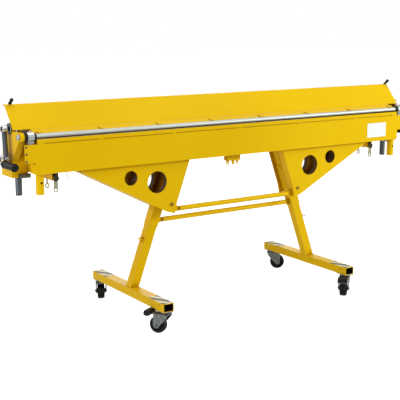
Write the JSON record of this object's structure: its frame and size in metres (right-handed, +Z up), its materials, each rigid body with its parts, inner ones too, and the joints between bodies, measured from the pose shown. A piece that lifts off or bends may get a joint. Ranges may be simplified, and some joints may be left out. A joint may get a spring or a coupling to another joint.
{
  "type": "sheet_metal_folder",
  "caption": "Hand-operated sheet metal folder on a wheeled stand, with a folding apron, a clamping beam worked by end levers, height-adjustable feet and swivel castors.",
  "frame": {"origin": "On the floor under the middle of the machine, between the four castors.", "axes": "+X runs along the machine to the operator's right, +Y points away from the operator and the apron, +Z is up."},
  "size_m": [2.376, 0.7938, 1.0781],
  "materials": {
    "yellow_paint": "semi_gloss",
    "bright_steel": "satin",
    "chrome_plate": "polished",
    "dark_tube": "satin",
    "black_rubber": "matte",
    "black_plastic": "matte"
  },
  "bodies": {
    "root": {"bed_beam": "yellow_paint", "bed_table": "bright_steel", "end_frame_left": "yellow_paint", "end_frame_right": "yellow_paint", "gusset_left": "yellow_paint", "gusset_right": "yellow_paint", "gusset_backs": "yellow_paint", "leg_sleeves": "yellow_paint", "leg_tubes": "yellow_paint", "crossbar_upper": "yellow_paint", "crossbar_lower": "yellow_paint", "spring_housings": "dark_tube", "underside_brackets": "yellow_paint", "eye_rings": "yellow_paint", "frame_bolts": "yellow_paint", "pivot_bolts": "bright_steel", "pivot_spacers": "black_rubber", "shaft_bearings": "bright_steel", "spring_clamps": "bright_steel"},
    "apron": {"apron_plate": "yellow_paint", "bending_bar": "yellow_paint", "apron_hubs": "chrome_plate", "hub_bushes": "bright_steel", "hub_end_rings": "black_rubber", "ear_screws": "dark_tube", "handle_sockets": "yellow_paint"},
    "clamp_beam": {"clamp_skin": "yellow_paint", "clamp_box": "yellow_paint", "nose_lip": "yellow_paint", "nose_bar": "bright_steel", "lift_plates": "yellow_paint", "spring_rods": "bright_steel", "lift_springs": "bright_steel"},
    "clamp_shaft": {"clamp_shaft": "bright_steel", "clamp_cranks": "bright_steel", "lever_hubs": "chrome_plate", "lever_tubes": "dark_tube", "lever_handles": "chrome_plate", "lever_grips": "black_rubber"},
    "beam_knob_left": {"beam_knob_left": "black_rubber"},
    "beam_knob_right": {"beam_knob_right": "black_rubber"},
    "link_left": {"link_left": "yellow_paint"},
    "link_right": {"link_right": "yellow_paint"},
    "lock_screw_left": {"lock_screw_left": "yellow_paint"},
    "lock_screw_right": {"lock_screw_right": "yellow_paint"},
    "foot_left": {"foot_left": "yellow_paint", "castor_plates_left": "chrome_plate"},
    "foot_right": {"foot_right": "yellow_paint", "castor_plates_right": "chrome_plate"},
    "castor_front_left": {"castor_fork_front_left": "chrome_plate"},
    "wheel_front_left": {"castor_wheel_front_left": "black_rubber"},
    "brake_pedal_front_left": {"brake_pedal_front_left": "black_plastic"},
    "castor_front_right": {"castor_fork_front_right": "chrome_plate"},
    "wheel_front_right": {"castor_wheel_front_right": "black_rubber"},
    "brake_pedal_front_right": {"brake_pedal_front_right": "black_plastic"},
    "castor_back_left": {"castor_fork_back_left": "chrome_plate"},
    "wheel_back_left": {"castor_wheel_back_left": "black_rubber"},
    "brake_pedal_back_left": {"brake_pedal_back_left": "black_plastic"},
    "castor_back_right": {"castor_fork_back_right": "chrome_plate"},
    "wheel_back_right": {"castor_wheel_back_right": "black_rubber"}
  },
  "joints": [
    {"name": "apron_fold", "type": "hinge", "parent": "root", "child": "apron", "pos_m": [0, -0.11, 0.922], "axis": [-1, 0, 0], "range_deg": [0, 135]},
    {"name": "clamp_lever", "type": "hinge", "parent": "root", "child": "clamp_shaft", "pos_m": [0, -0.009, 0.95], "axis": [1, 0, 0], "range_deg": [-90, 0]},
    {"name": "beam_lift", "type": "slide", "parent": "root", "child": "clamp_beam", "axis": [0, 0, 1], "range_m": [0, 0.0298], "deforming": ["lift_springs"]},
    {"name": "beam_knob_left_tilt", "type": "hinge", "parent": "clamp_beam", "child": "beam_knob_left", "pos_m": [-1.12, 0.036, 1.0543], "axis": [-1, 0, 0], "range_deg": [0, 90]},
    {"name": "link_left_swing", "type": "hinge", "parent": "root", "child": "link_left", "pos_m": [-0.955, -0.048, 0.721], "axis": [0, 1, 0], "range_deg": [-60, 60]},
    {"name": "foot_left_height", "type": "slide", "parent": "root", "child": "foot_left", "axis": [-0.342, 0, -0.9397], "range_m": [0, 0.1]},
    {"name": "lock_screw_left_turn", "type": "hinge", "parent": "root", "child": "lock_screw_left", "pos_m": [-0.47175, -0.008, 0.365], "axis": [-0.9397, 0, 0.342], "range_deg": [0, 360]},
    {"name": "beam_knob_right_tilt", "type": "hinge", "parent": "clamp_beam", "child": "beam_knob_right", "pos_m": [1.137, 0.036, 1.0543], "axis": [-1, 0, 0], "range_deg": [0, 90]},
    {"name": "link_right_swing", "type": "hinge", "parent": "root", "child": "link_right", "pos_m": [0.955, -0.048, 0.721], "axis": [0, 1, 0], "range_deg": [-60, 60]},
    {"name": "foot_right_height", "type": "slide", "parent": "root", "child": "foot_right", "axis": [0.342, 0, -0.9397], "range_m": [0, 0.1]},
    {"name": "lock_screw_right_turn", "type": "hinge", "parent": "root", "child": "lock_screw_right", "pos_m": [0.47175, -0.008, 0.365], "axis": [0.9397, 0, 0.342], "range_deg": [0, 360]},
    {"name": "castor_front_left_swivel", "type": "hinge", "parent": "foot_left", "child": "castor_front_left", "pos_m": [-0.5535, -0.306, 0.095], "axis": [0, 0, 1], "continuous": true},
    {"name": "wheel_front_left_roll", "type": "hinge", "parent": "castor_front_left", "child": "wheel_front_left", "pos_m": [-0.5695, -0.27829, 0.04], "axis": [-0.866, -0.5, 0], "continuous": true},
    {"name": "brake_front_left_press", "type": "hinge", "parent": "castor_front_left", "child": "brake_pedal_front_left", "pos_m": [-0.5635, -0.28868, 0.0865], "axis": [-0.866, -0.5, 0], "range_deg": [0, 10]},
    {"name": "castor_front_right_swivel", "type": "hinge", "parent": "foot_right", "child": "castor_front_right", "pos_m": [0.5535, -0.306, 0.095], "axis": [0, 0, 1], "continuous": true},
    {"name": "wheel_front_right_roll", "type": "hinge", "parent": "castor_front_right", "child": "wheel_front_right", "pos_m": [0.52899, -0.32657, 0.04], "axis": [0.6428, -0.766, 0], "continuous": true},
    {"name": "brake_front_right_press", "type": "hinge", "parent": "castor_front_right", "child": "brake_pedal_front_right", "pos_m": [0.53818, -0.31886, 0.0865], "axis": [0.6428, -0.766, 0], "range_deg": [0, 10]},
    {"name": "castor_back_left_swivel", "type": "hinge", "parent": "foot_left", "child": "castor_back_left", "pos_m": [-0.5535, 0.306, 0.095], "axis": [0, 0, 1], "continuous": true},
    {"name": "wheel_back_left_roll", "type": "hinge", "parent": "castor_back_left", "child": "wheel_back_left", "pos_m": [-0.54048, 0.33523, 0.04], "axis": [-0.9135, 0.4067, 0], "continuous": true},
    {"name": "brake_back_left_press", "type": "hinge", "parent": "castor_back_left", "child": "brake_pedal_back_left", "pos_m": [-0.54536, 0.32427, 0.0865], "axis": [-0.9135, 0.4067, 0], "range_deg": [0, 10]},
    {"name": "castor_back_right_swivel", "type": "hinge", "parent": "foot_right", "child": "castor_back_right", "pos_m": [0.5535, 0.306, 0.095], "axis": [0, 0, 1], "continuous": true},
    {"name": "wheel_back_right_roll", "type": "hinge", "parent": "castor_back_right", "child": "wheel_back_right", "pos_m": [0.58003, 0.28811, 0.04], "axis": [0.5592, 0.829, 0], "continuous": true}
  ],
  "couplings": [
    {"joint": "beam_lift", "follows": "clamp_lever", "m_per_rad": -0.018908}
  ]
}
